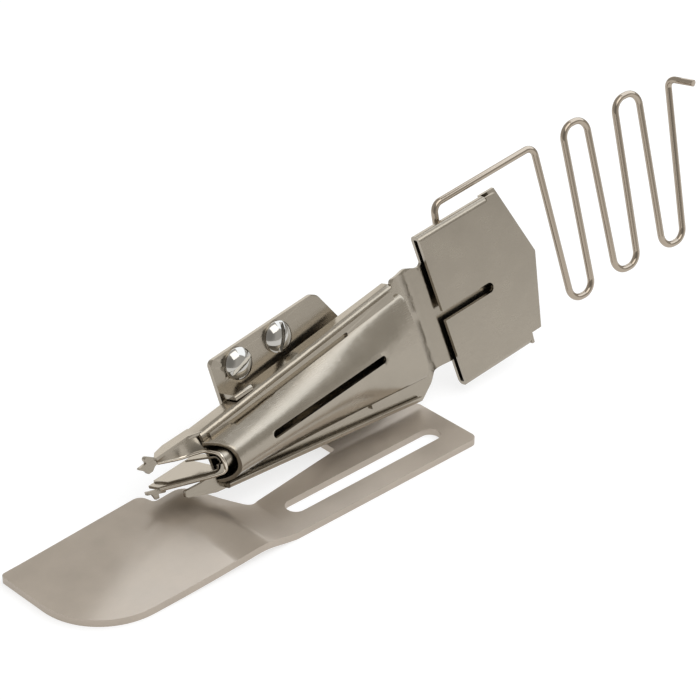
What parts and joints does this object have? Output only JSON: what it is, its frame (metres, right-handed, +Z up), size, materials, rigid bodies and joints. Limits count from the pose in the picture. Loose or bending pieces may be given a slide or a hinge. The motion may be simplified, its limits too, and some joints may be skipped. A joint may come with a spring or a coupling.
{
  "type": "bias binder attachment",
  "caption": "Sewing bias binder attachment: a slotted base plate with a bent ear carries a folding cone on a screwed bracket, with a flat entry guide and a zigzag tape wire.",
  "frame": {"origin": "centre of the long adjusting slot, on the underside of the base plate", "axes": "+X along the slot towards the tape wire, +Y from the slot to the bent ear, +Z up"},
  "size_m": [0.1782, 0.0321, 0.0484],
  "materials": {
    "plate_steel": "satin rolled steel, edges rounded",
    "folder_steel": "polished sheet, fine brushing",
    "screw_chrome": "polished",
    "wire_steel": "drawn wire, bright",
    "solder": "dull"
  },
  "bodies": {
    "root": {"base_plate": "plate_steel", "mounting_bracket": "folder_steel", "clamp_screw_left": "screw_chrome", "clamp_screw_right": "screw_chrome", "binder_body": "folder_steel", "outer_cone": "folder_steel", "inner_scroll": "folder_steel", "inner_tongue": "folder_steel", "tape_guide_wire": "wire_steel", "wire_solder_bead": "solder"}
  },
  "joints": []
}
